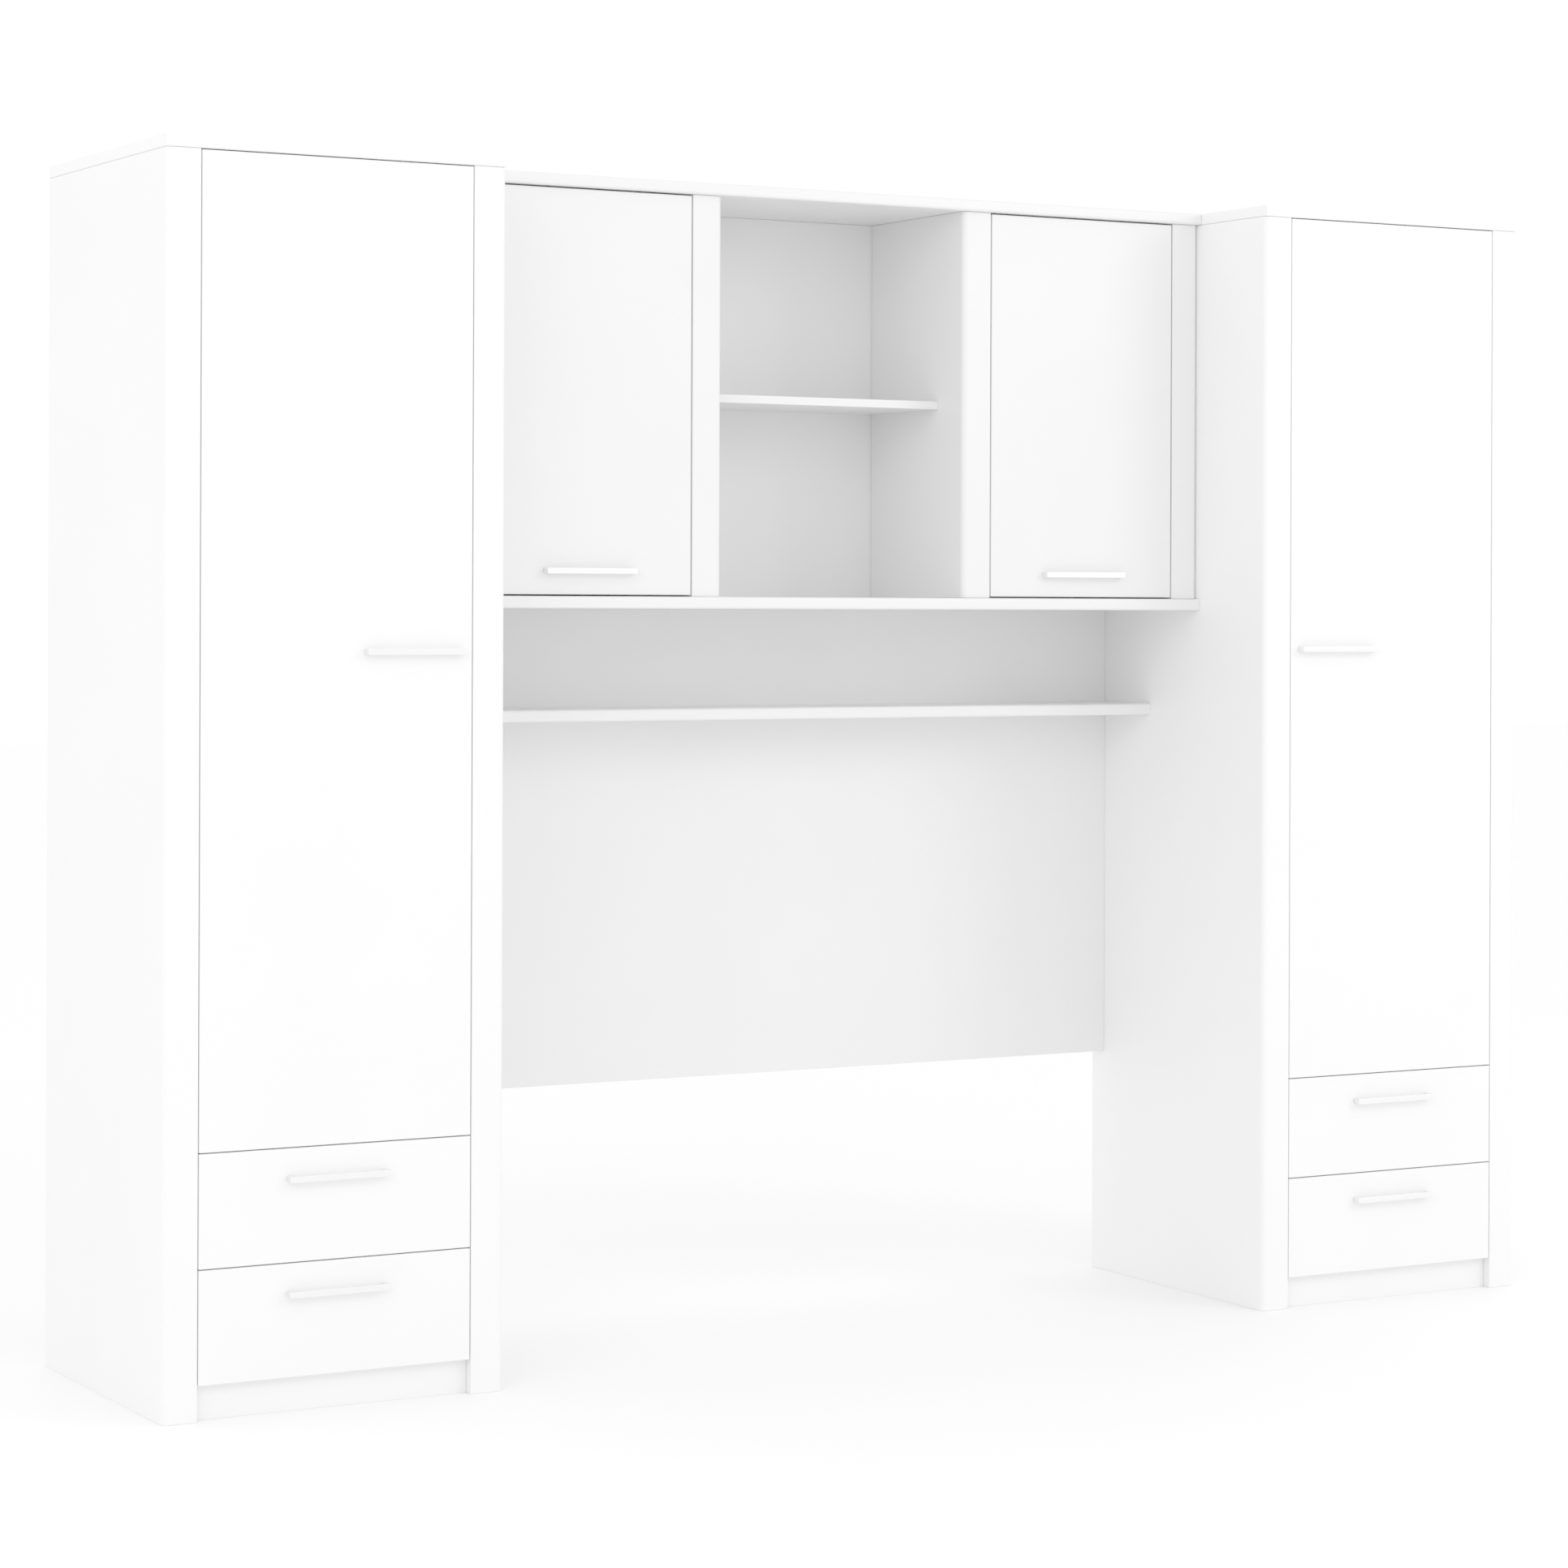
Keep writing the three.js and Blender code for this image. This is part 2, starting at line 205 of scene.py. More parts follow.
def melamine(name, white, shade, roughness, emboss_mm=PEARL_MM):
    material, tree, shader = new_material(name, IOR=1.5)
    place = place_of(tree)
    broad = noise(tree, place, CLOUD_MM, 3.0)
    colour = tint(tree, remap(tree, broad, 0.0, 1.0), white, shade)
    pearl = noise(tree, place, emboss_mm, 2.0)
    wave = noise(tree, place, PRESS_WAVE_MM, 1.0)
    gloss = remap(tree, broad, roughness - 0.03, roughness + 0.03)
    fine = add_node(
        tree, "ShaderNodeBump", {"Height": pearl, "Strength": 0.25, "Distance": 0.00006}
    )
    bump = add_node(
        tree,
        "ShaderNodeBump",
        {"Height": wave, "Strength": 0.2, "Distance": 0.0003, "Normal": fine.outputs["Normal"]},
    )
    tree.links.new(colour, shader.inputs["Base Color"])
    tree.links.new(gloss, shader.inputs["Roughness"])
    tree.links.new(bump.outputs["Normal"], shader.inputs["Normal"])
    return material


white_melamine = melamine("white_melamine", "#ededed", "#ebebeb", 0.40)
# Painted shade: a darker copy of the wardrobes' white, for the bridge and the headboard in the
# recess between the wardrobes.
bridge_melamine = melamine("bridge_melamine", "#e2e2e2", "#e0e0e0", 0.40)
carcass_melamine = melamine("carcass_melamine", "#dededd", "#dbdbda", 0.48, PLAIN_EMBOSS_MM)
drawer_foil = melamine("drawer_foil", "#dcdcda", "#d8d8d6", 0.52, PLAIN_EMBOSS_MM)
print("materials, with the packed model's own:", len(bpy.data.materials))

# %% [markdown]
# ## Plastic edging
#
# The cut edges of the board are closed with ABS edging, 1 to 2 mm thick, glued on hot and
# milled to a small radius. It is moulded plastic, so it is a little smoother than the pressed
# film, with faint marks along its length from the milling.


# %% Edging and small plastic parts
def moulded_plastic(name, colour, second, roughness, mark_mm):
    material, tree, shader = new_material(name, IOR=1.49)
    place = place_of(tree)
    marks = noise(tree, place, mark_mm, 3.0)
    tree.links.new(tint(tree, marks, colour, second), shader.inputs["Base Color"])
    gloss = remap(tree, marks, roughness - 0.05, roughness + 0.05)
    tree.links.new(gloss, shader.inputs["Roughness"])
    bump = add_node(
        tree, "ShaderNodeBump", {"Height": marks, "Strength": 0.15, "Distance": 0.00005}
    )
    tree.links.new(bump.outputs["Normal"], shader.inputs["Normal"])
    return material


abs_edging = moulded_plastic("abs_edging", "#ededed", "#ebebeb", 0.34, 8)
# Painted shade: a darker copy of the edging, to go with the shaded white of the bridge and the
# headboard.
bridge_edging = moulded_plastic("bridge_edging", "#e2e2e2", "#e0e0e0", 0.34, 8)
polyethylene_cap = moulded_plastic("polyethylene_cap", "#dededc", "#d6d6d4", 0.42, 3)
print("materials, with the packed model's own:", len(bpy.data.materials))

# %% [markdown]
# ## Satin anodised aluminium
#
# The handles are flat bar aluminium, brushed along the bar and anodised. Brushing leaves fine
# lines along the length, so the noise is stretched: long features along X and short ones
# across. Real scratches are about 0.1 mm wide. Here they are drawn 0.4 mm wide, as coarse as
# they need to be to show in a close view.


# %% Metals
def brushed_metal(name, colour, second, roughness, along, line_mm, length_mm):
    """A metal with fine lines along one axis: 0 is X, 1 is Y, 2 is Z."""
    material, tree, shader = new_material(name, Metallic=1.0)
    stretch = [per_metre(line_mm)] * 3
    stretch[along] = per_metre(length_mm)
    mapping = add_node(tree, "ShaderNodeMapping", {"Vector": place_of(tree), "Scale": stretch})
    inputs = {"Vector": mapping.outputs["Vector"], "Scale": 1.0, "Detail": 3.0}
    lines = add_node(tree, "ShaderNodeTexNoise", inputs).outputs["Fac"]
    tree.links.new(tint(tree, lines, colour, second), shader.inputs["Base Color"])
    gloss = remap(tree, lines, roughness - 0.07, roughness + 0.07)
    tree.links.new(gloss, shader.inputs["Roughness"])
    bump = add_node(
        tree, "ShaderNodeBump", {"Height": lines, "Strength": 0.2, "Distance": 0.00003}
    )
    tree.links.new(bump.outputs["Normal"], shader.inputs["Normal"])
    return material


def plated_steel(name, colour, second, roughness):
    """Stamped steel with a zinc or nickel coat: slightly cloudy, with no direction."""
    material, tree, shader = new_material(name, Metallic=1.0)
    cloud = noise(tree, place_of(tree), 6, 4.0)
    tree.links.new(tint(tree, cloud, colour, second), shader.inputs["Base Color"])
    gloss = remap(tree, cloud, roughness - 0.08, roughness + 0.08)
    tree.links.new(gloss, shader.inputs["Roughness"])
    return material


satin_aluminium = brushed_metal("satin_aluminium", "#f1f1f2", "#e9e9ea", 0.34, 0, 0.4, 30)
chromed_steel = brushed_metal("chromed_steel", "#d4d6d8", "#cbcdd0", 0.16, 0, 0.6, 80)
zinc_steel = plated_steel("zinc_plated_steel", "#c3c6c8", "#aeb2b5", 0.34)
nickel_steel = plated_steel("nickel_plated_steel", "#cdc9c2", "#bdb8b0", 0.24)
print("materials, with the packed model's own:", len(bpy.data.materials))

# %% [markdown]
# ## Lacquered hardboard
#
# The wardrobes' backs and the drawer bases are hardboard, lacquered white. Under the thin
# lacquer the pressed wood fibres still show as a fine felt about 3 mm across.


# %% Hardboard
FIBRE_MM = 3
FIBRE_SQUASH = (1, 1, 2.2)


def hardboard(name, colour, second):
    material, tree, shader = new_material(name, IOR=1.5, Roughness=0.55)
    place = place_of(tree)
    stretched = add_node(tree, "ShaderNodeMapping", {"Vector": place, "Scale": FIBRE_SQUASH})
    fibres = noise(tree, stretched.outputs["Vector"], FIBRE_MM, 5.0)
    tree.links.new(tint(tree, fibres, colour, second), shader.inputs["Base Color"])
    bump = add_node(
        tree, "ShaderNodeBump", {"Height": fibres, "Strength": 0.3, "Distance": 0.00015}
    )
    tree.links.new(bump.outputs["Normal"], shader.inputs["Normal"])
    return material


lacquered_hardboard = hardboard("lacquered_hardboard", "#dddcd9", "#d4d3cf")
print("materials, with the packed model's own:", len(bpy.data.materials))

# %% [markdown]
# ## From mesh to piece
#
# Every piece is built with bmesh, then finished by one function: its faces are smooth, and a
# Weighted Normal modifier lets the large flat faces keep their own direction, so only the small
# rounded edges shade as round. That is what makes a board look crisp and not inflated.


# %% From mesh to piece
def make_piece(name, mesh, materials, body):
    """Turns a bmesh into an object that rides on a body."""
    data = bpy.data.meshes.new(name)
    bmesh.ops.recalc_face_normals(mesh, faces=mesh.faces)
    for face in mesh.faces:
        face.smooth = True
    mesh.to_mesh(data)
    mesh.free()
    piece = bpy.data.objects.new(name, data)
    bpy.context.scene.collection.objects.link(piece)
    for material in materials:
        data.materials.append(material)
    weighted = piece.modifiers.new("weighted", "WEIGHTED_NORMAL")
    weighted.mode = "FACE_AREA"
    weighted.weight = 50
    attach(piece, body)
    return piece


def piece_count():
    """How many pieces this script has made so far."""
    return sum(1 for thing in bpy.data.objects if "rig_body" in thing and thing.name not in nodes)


# %% [markdown]
# ## A board
#
# A board starts as a cube scaled to its box. Chosen edges get a large radius, then every edge
# that is still sharp gets a small one, which is the milled arris. Faces that look in a banded
# direction take the second material, the edging.

# %% A board
ARRIS = 0.7 * MM
ARRIS_SEGMENTS = 3
SHARP = math.radians(40)  # an edge that bends more than this is still sharp


def along(edge):
    """The axis that an edge of a box runs along: 0, 1 or 2."""
    step = edge.verts[1].co - edge.verts[0].co
    return max(range(3), key=lambda axis: abs(step[axis]))


def soften(mesh, arris, segments):
    """Rounds every edge that is still sharp."""
    sharp = [edge for edge in mesh.edges if edge.calc_face_angle(0.0) > SHARP]
    bmesh.ops.bevel(
        mesh, geom=sharp, offset=arris, segments=segments, profile=0.5, affect="EDGES"
    )


def block_mesh(low, high, rounds=(), arris=ARRIS):
    """A box whose edges are rounded. A round is (axis, direction, radius, segments): the edges
    along the axis that lie on the sides that direction points to."""
    mesh = bmesh.new()
    bmesh.ops.create_cube(mesh, size=1.0)
    middle = (low + high) / 2
    size = high - low
    for vertex in mesh.verts:
        vertex.co = middle + Vector(size[i] * vertex.co[i] for i in range(3))
    chosen = {}
    for number, (axis, direction, _, _) in enumerate(rounds):
        for edge in mesh.edges:
            centre = (edge.verts[0].co + edge.verts[1].co) / 2 - middle
            inside = all(direction[i] * centre[i] > 0 for i in range(3) if direction[i])
            if along(edge) == axis and inside:
                chosen.setdefault(number, []).append(edge)
    for number, edges in chosen.items():
        _, _, radius, segments = rounds[number]
        bmesh.ops.bevel(
            mesh, geom=edges, offset=radius, segments=segments, profile=0.5, affect="EDGES"
        )
    soften(mesh, arris, ARRIS_SEGMENTS)
    return mesh


def add_block(mesh, low, high, arris):
    """Adds a rounded box to a mesh that already holds others."""
    block = block_mesh(low, high, arris=arris)
    data = bpy.data.meshes.new("block")
    block.to_mesh(data)
    block.free()
    mesh.from_mesh(data)
    bpy.data.meshes.remove(data)


def band_edges(mesh, directions):
    """Gives the faces that look along any of the directions the second material."""
    for face in mesh.faces:
        face.normal_update()
        if any(face.normal.dot(Vector(direction)) > 0.5 for direction in directions):
            face.material_index = 1


# %% [markdown]
# ## A fine board in the place of a packed one
#
# The imported model says which body and which kind of material each board has. The fine board takes
# the same body and the same box, and stands in for the imported board in every picture.

# %% Fine boards
FRONT = (0, -1, 0)
SIDES = ((1, 0, 0), (-1, 0, 0))
ENDS = ((0, 0, 1), (0, 0, -1))


def body_of(node):
    for body, members in frame["record"]["behaviour"]["bodies"].items():
        if node in members:
            return body
    raise KeyError(node)


def slot_of(node):
    rows = frame["record"]["subparts"]
    return next(row["material_slot"] for row in rows if row["node"] == node)


def refine_board(node, board, edging=None, banded=(), rounds=(), arris=ARRIS):
    """Builds a fine board in the place of a packed one."""
    low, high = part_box(node)
    mesh = block_mesh(low, high, rounds, arris)
    band_edges(mesh, banded)
    piece = make_piece(f"{node}_board", mesh, [board, edging or board], body_of(node))
    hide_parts(node)
    return piece


print("nodes on the carcass:", sum(1 for node in nodes if body_of(node) == "carcass"))

# %% [markdown]
# ## Sides, ends and dividers
#
# These eight uprights are 60 mm thick and wrapped in film, so they show no seam between their
# front and their side. The wrap needs a soft corner: the corner that faces away from the door
# has a radius of 11 mm, and the corner at the door is nearly sharp. The corner at the wall has a
# small radius too, which leaves the fine shadow line where a side meets the panel behind it.

# %% Sides, ends and dividers
CORNER_RADIUS = 11 * MM
CORNER_SEGMENTS = 10
WALL_RADIUS = 3 * MM
WALL_SEGMENTS = 4
SIDE_ARRIS = 1.2 * MM
UPRIGHTS = {
    "left_side_outer": -1,
    "left_side_inner": 1,
    "right_side_inner": -1,
    "right_side_outer": 1,
    "bridge_end_left": -1,
    "bridge_divider_left": 1,
    "bridge_divider_right": -1,
    "bridge_end_right": 1,
}
for node, side in UPRIGHTS.items():
    corner = (2, (side, -1, 0), CORNER_RADIUS, CORNER_SEGMENTS)
    wall_corner = (2, (side, 1, 0), WALL_RADIUS, WALL_SEGMENTS)
    # The bridge's uprights take the darker white, which is painted shade.
    finish = bridge_melamine if node.startswith("bridge") else white_melamine
    refine_board(node, finish, rounds=[corner, wall_corner], arris=SIDE_ARRIS)
print("uprights:", len(UPRIGHTS))

# %% [markdown]
# ## Lying boards
#
# The wardrobes' top boards lie over the sides and stand 3 mm proud of them. The bridge's two
# boards and the headboard shelf have their long front edges rounded to 5 mm. These boards have
# ABS edging at the front.

# %% Lying boards
FRONT_RADIUS = 5 * MM
TOP_CORNER = 6 * MM
LONG_SEGMENTS = 6
TOP_ARRIS = 2.5 * MM
for name, side in (("left", -1), ("right", 1)):
    corner = (2, (side, -1, 0), TOP_CORNER, LONG_SEGMENTS)
    edges = (FRONT, (side, 0, 0))
    refine_board(f"{name}_top_board", white_melamine, abs_edging, edges, [corner], TOP_ARRIS)
# The bridge's boards, the headboard and its shelf take the darker white and edging, which are
# painted shade.
for node in ("bridge_top_board", "bridge_bottom_board", "headboard_shelf"):
    front_edges = (0, FRONT, FRONT_RADIUS, LONG_SEGMENTS)
    refine_board(node, bridge_melamine, bridge_edging, [FRONT], [front_edges])
refine_board("bridge_bay_shelf", bridge_melamine, bridge_edging, [FRONT])
for node in ("headboard_panel", "bridge_back_panel"):
    refine_board(node, bridge_melamine, bridge_edging, ENDS)
for name in ("left", "right"):
    refine_board(f"{name}_plinth", white_melamine, abs_edging, ENDS)
    for board in ("floor_board", "drawer_shelf", "hat_shelf"):
        refine_board(f"{name}_{board}", carcass_melamine, abs_edging, [FRONT])
    refine_board(f"{name}_back_panel", lacquered_hardboard)
print("boards made:", piece_count())

# %% [markdown]
# ## Doors, drawer fronts and flaps
#
# The fronts are 19 mm board with edging on all four edges, milled to a radius of 1.5 mm.

# %% Fronts
FRONT_ARRIS = 1.5 * MM
fronts = [n for n in nodes if n.endswith(("_door", "_front", "_flap"))]
for node in sorted(fronts):
    flap = node.endswith("_flap")
    # The flaps take the bridge's darker white and edging, which are painted shade.
    board, edging = (bridge_melamine, bridge_edging) if flap else (white_melamine, abs_edging)
    refine_board(node, board, edging, [*SIDES, *ENDS], arris=FRONT_ARRIS)
print("fronts:", len(fronts))

# %% [markdown]
# ## Turned parts
#
# Screw heads, hinge cups, shelf pins and cover caps are all round, so each is a profile spun
# about a line. The profile is a list of (radius, height) pairs in millimetres, as on a turner's
# drawing. Parts of one kind on one body are joined into one piece, because a real fitter also
# counts them as one bag of screws.

# %% Turned parts
# Screw heads are low domes with a driver recess in the middle.
SCREW_HEAD = [(0, 0), (3.6, 0), (3.8, 0.7), (3.2, 1.7), (1.7, 2.1), (1.5, 1.0), (0, 0.9)]
SMALL_HEAD = [(0, 0), (2.6, 0), (2.7, 0.5), (2.2, 1.1), (1.2, 1.3), (1.0, 0.7), (0, 0.6)]
NAIL_HEAD = [(0, 0), (2.4, 0), (2.5, 0.4), (2.0, 0.8), (0, 0.9)]
COVER_CAP = [(0, 0), (8.3, 0), (8.5, 0.4), (7.6, 1.2), (0, 1.5)]
CONNECTOR_HEAD = [(0, 0), (7.0, 0), (7.2, 0.8), (6.2, 2.0), (3.4, 2.3), (3.0, 1.2), (0, 1.2)]
SHELF_PIN = [(0, 0), (4.6, 0), (4.8, 0.4), (4.6, 1.4), (3.0, 1.6), (2.9, 9.4), (2.4, 10), (0, 10)]


def add_turned(mesh, profile, point, direction, segments=24):
    """Spins a profile about the line through a point and adds it to the mesh."""
    turn = Vector(direction).to_track_quat("Z", "Y").to_matrix().to_4x4()
    where = Matrix.Translation(point) @ turn
    rings = []
    for radius, height in profile:
        count = segments if radius else 1
        angles = [2 * math.pi * i / segments for i in range(count)]
        spots = [(radius * math.cos(a), radius * math.sin(a), height) for a in angles]
        rings.append([mesh.verts.new(where @ (Vector(spot) * MM)) for spot in spots])
    for lower, upper in zip(rings, rings[1:]):
        for i in range(segments):
            j = (i + 1) % segments
            corners = [lower[i % len(lower)], lower[j % len(lower)]]
            corners += [upper[j % len(upper)], upper[i % len(upper)]]
            mesh.faces.new(list(dict.fromkeys(corners)))


def turned_piece(name, profile, places, material, body, segments=24):
    """One piece that holds a turned part at each (point, direction)."""
    mesh = bmesh.new()
    for point, direction in places:
        add_turned(mesh, profile, point, direction, segments)
    return make_piece(name, mesh, [material], body)


STEEL_ARRIS = 0.4 * MM


def blocks_piece(name, boxes, material, body):
    """One steel piece made of several blocks with small rounded edges."""
    mesh = bmesh.new()
    for low, high in boxes:
        add_block(mesh, low, high, STEEL_ARRIS)
    return make_piece(name, mesh, [material], body)


def spread(first, last, count):
    """Evenly spaced values from first to last."""
    return [first + (last - first) * i / (count - 1) for i in range(count)]


def span(start, end):
    """The low and the high corner of the box between two points."""
    low = Vector(min(start[i], end[i]) for i in range(3))
    return low, Vector(max(start[i], end[i]) for i in range(3))


print("a screw head is", 2 * max(radius for radius, _ in SCREW_HEAD), "mm wide")

# %% [markdown]
# ## Bar handles
#
# Each handle is milled from flat aluminium: a bar with a leg at each end, and narrow rounded
# edges. Two M4 screws hold it from inside. On a door their heads lie on the door's inner face,
# and on a drawer the screws pass through the box front as well.

# %% Bar handles
HANDLE_BAR = 6 * MM
HANDLE_LEG = 9 * MM
HANDLE_CORNER = 1.5 * MM
HANDLE_ARRIS = 0.8 * MM
HANDLE_ARRIS_SEGMENTS = 4
HANDLE_CORNER_SEGMENTS = 8
BOX_BOARD = 12 * MM  # a drawer box's boards, which the drawer's handle screws pass through
SAME_PLACE = 0.1 * MM


def handle_mesh(low, high):
    """A U lying on its back: outline in plan, pushed up to the handle's height."""
    mesh = bmesh.new()
    inner_x = (low.x + HANDLE_LEG, high.x - HANDLE_LEG)
    outline = [
        (low.x, high.y),
        (low.x, low.y),
        (high.x, low.y),
        (high.x, high.y),
        (inner_x[1], high.y),
        (inner_x[1], low.y + HANDLE_BAR),
        (inner_x[0], low.y + HANDLE_BAR),
        (inner_x[0], high.y),
    ]
    base = mesh.faces.new([mesh.verts.new((x, y, low.z)) for x, y in outline])
    pushed = bmesh.ops.extrude_face_region(mesh, geom=[base])
    risen = [item for item in pushed["geom"] if isinstance(item, bmesh.types.BMVert)]
    bmesh.ops.translate(mesh, verts=risen, vec=(0, 0, high.z - low.z))
    bmesh.ops.recalc_face_normals(mesh, faces=mesh.faces)
    corners = [
        edge
        for edge in mesh.edges
        if along(edge) == 2 and all(abs(v.co.y - low.y) < SAME_PLACE for v in edge.verts)
    ]
    bmesh.ops.bevel(
        mesh,
        geom=corners,
        offset=HANDLE_CORNER,
        segments=HANDLE_CORNER_SEGMENTS,
        profile=0.5,
        affect="EDGES",
    )
    soften(mesh, HANDLE_ARRIS, HANDLE_ARRIS_SEGMENTS)
    return mesh


handles = sorted(n for n in nodes if n.endswith("_handle"))
for node in handles:
    low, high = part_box(node)
    mesh = handle_mesh(low, high)
    handle = make_piece(f"{node}_bar", mesh, [satin_aluminium], body_of(node))
    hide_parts(node)
    leaf = node.removesuffix("_handle")
    if leaf in nodes:
        inner_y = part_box(leaf)[1].y
    else:
        inner_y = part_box(f"{leaf}_box")[0].y + BOX_BOARD
    ends = (low.x + HANDLE_LEG / 2, high.x - HANDLE_LEG / 2)
    places = [((x, inner_y, (low.z + high.z) / 2), (0, 1, 0)) for x in ends]
    turned_piece(f"{node}_screws", SCREW_HEAD, places, zinc_steel, body_of(node))
print("handles:", len(handles))

# %% [markdown]
# ## Drawer boxes
#
# A drawer box is four boards 12 mm thick, faced with plain foil, round a hardboard base. The
# front and the back stand between the sides. Their upper edges are rounded, because hands
# reach over them.

# %% Drawer boxes
BOX_BASE = 6 * MM
BASE_LIFT = 2 * MM
SCREW_INSET = 25 * MM
RIM_RADIUS = 3 * MM
UPPER_ROUNDS = [(0, (0, way, 1), RIM_RADIUS, 4) for way in (1, -1)]
UPPER_ROUNDS_SIDE = [(1, (way, 0, 1), RIM_RADIUS, 4) for way in (1, -1)]


def add_drawer_box(node):
    low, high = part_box(node)
    body = body_of(node)
    inner = (low.x + BOX_BOARD, high.x - BOX_BOARD)
    boards = {
        "side_a": (low, Vector((inner[0], high.y, high.z)), UPPER_ROUNDS_SIDE),
        "side_b": (Vector((inner[1], low.y, low.z)), high, UPPER_ROUNDS_SIDE),
        "box_front": (
            Vector((inner[0], low.y, low.z)),
            Vector((inner[1], low.y + BOX_BOARD, high.z)),
            UPPER_ROUNDS,
        ),
        "box_back": (
            Vector((inner[0], high.y - BOX_BOARD, low.z)),
            Vector((inner[1], high.y, high.z)),
            UPPER_ROUNDS,
        ),
    }
    for part, (start, end, rounds) in boards.items():
        mesh = block_mesh(start, end, rounds)
        piece = make_piece(f"{node}_{part}", mesh, [drawer_foil], body)
        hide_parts(node)
    start = Vector((inner[0], low.y + BOX_BOARD, low.z + BASE_LIFT))
    end = Vector((inner[1], high.y - BOX_BOARD, low.z + BASE_LIFT + BOX_BASE))
    base = make_piece(
        f"{node}_base", block_mesh(start, end), [lacquered_hardboard], body
    )
    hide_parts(node)
    outer = ((low.x, (-1, 0, 0)), (high.x, (1, 0, 0)))
    rows = (low.z + SCREW_INSET, high.z - SCREW_INSET)
    columns = (low.y + BOX_BOARD / 2, high.y - BOX_BOARD / 2)
    places = [((x, y, z), way) for x, way in outer for y in columns for z in rows]
    turned_piece(f"{node}_screws", SMALL_HEAD, places, zinc_steel, body)


drawer_boxes = sorted(n for n in nodes if n.endswith("_box"))
for node in drawer_boxes:
    add_drawer_box(node)
print("drawer boxes:", len(drawer_boxes))

# %% [markdown]
# ## Drawer runners
#
# A ball-bearing runner has a channel on the carcass and a member on the drawer that slides in
# it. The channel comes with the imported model, where its shape is already right. The member is
# added here and moves with its drawer. It is a web with two flanges, held by three screws.

# %% Drawer runners
MEMBER_WALL = 1.5 * MM
MEMBER_HALF_HEIGHT = 17 * MM
MEMBER_REACH = 5 * MM  # how far the member reaches into the channel
RUNNER_CLEARANCE = 0.4 * MM
FIRST_SCREW = 35 * MM  # from the member's front end
LAST_SCREW = 60 * MM  # from its back end


def add_member(node):
    """The drawer's half of a runner: a web on the drawer side and a flange in the channel."""
    low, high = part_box(node)
    drawer = node.rsplit("_runner_", 1)[0]
    drawer_low, drawer_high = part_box(f"{drawer}_box")
    towards = 1 if low.x < drawer_low.x else -1
    face = drawer_low.x if towards > 0 else drawer_high.x
    mouth = high.x if towards > 0 else low.x
    tip = mouth - towards * MEMBER_REACH
    middle_z = (low.z + high.z) / 2
    near = face - towards * RUNNER_CLEARANCE
    outer = near - towards * MEMBER_WALL
    edge = MEMBER_HALF_HEIGHT
    boxes = []
    for x, z0, z1 in (
        (tip, -edge, MEMBER_WALL - edge),
        (tip, edge - MEMBER_WALL, edge),
        (outer, -edge, edge),
    ):
        boxes.append(span((near, low.y, middle_z + z0), (x, high.y, middle_z + z1)))
    blocks_piece(f"{node}_member", boxes, zinc_steel, body_of(f"{drawer}_box"))
    ys = spread(low.y + FIRST_SCREW, high.y - LAST_SCREW, 3)
    places = [((outer, y, middle_z), (-towards, 0, 0)) for y in ys]
    turned_piece(
        f"{node}_screws", SMALL_HEAD, places, nickel_steel, body_of(f"{drawer}_box")
    )


runners = sorted(n for n in nodes if "_runner_" in n)
for node in runners:
    add_member(node)
print("runners:", len(runners))

# %% [markdown]
# ## Concealed hinges
#
# A concealed hinge has two halves. The cup sits in a round hole 35 mm wide, milled into the
# door from inside. The arm is screwed to a mounting plate on the carcass. The plate and the arm
# stay with the carcass and the cup swings with the door, as on the real hinge, except that the
# short links between them aren't made.

# %% Concealed hinges
CUP_RADIUS = 17.5 * MM
CUP_DEPTH = 11.5 * MM
CUP_INSET = 22.5 * MM  # from the door's edge to the middle of the cup
CUTTER_TOP = 4.0  # mm, how far the cutter stands out of the board
CUP = [(0, -11.2), (16.9, -11.2), (17.3, -10.8), (17.3, 0.2), (19.0, 0.2), (19.2, 0.6), (18.8, 1.0)]
CUP += [(16.4, 1.0), (15.9, 0.4), (15.9, -9.8), (0, -10.2)]
HINGE_SEGMENTS = 40
FLANGE_HALF_LENGTH = 27 * MM
FLANGE_HALF_WIDTH = 6.5 * MM
FLANGE_LIFT = (0.1 * MM, 1.1 * MM)  # the flange's two faces above the leaf
FLANGE_GAP = 0.4 * MM  # between the hole and the flange
FLANGE_SCREW_INSET = 4.5 * MM


def mill_cups(piece, places):
    """Cuts the round holes for the cups. A place is (point on the face, outward direction)."""
    cutter_mesh = bmesh.new()
    radius = CUP_RADIUS / MM
    depth = CUP_DEPTH / MM
    hole = [(0, -depth), (radius, -depth), (radius, CUTTER_TOP), (0, CUTTER_TOP)]
    for point, direction in places:
        add_turned(cutter_mesh, hole, point, direction, HINGE_SEGMENTS)
    bmesh.ops.recalc_face_normals(cutter_mesh, faces=cutter_mesh.faces)
    data = bpy.data.meshes.new("cutter")
    cutter_mesh.to_mesh(data)
    cutter_mesh.free()
    cutter = bpy.data.objects.new("cutter", data)
    bpy.context.scene.collection.objects.link(cutter)
    boolean = piece.modifiers.new("cups", "BOOLEAN")
    boolean.operation = "DIFFERENCE"
    boolean.solver = "EXACT"
    boolean.object = cutter
    piece.modifiers.move(1, 0)
    piece.modifiers["weighted"].show_viewport = False
    depsgraph = bpy.context.evaluated_depsgraph_get()
    cut = bpy.data.meshes.new_from_object(piece.evaluated_get(depsgraph))
    piece.modifiers.remove(boolean)
    piece.modifiers["weighted"].show_viewport = True
    piece.data = cut
    bpy.data.objects.remove(cutter)


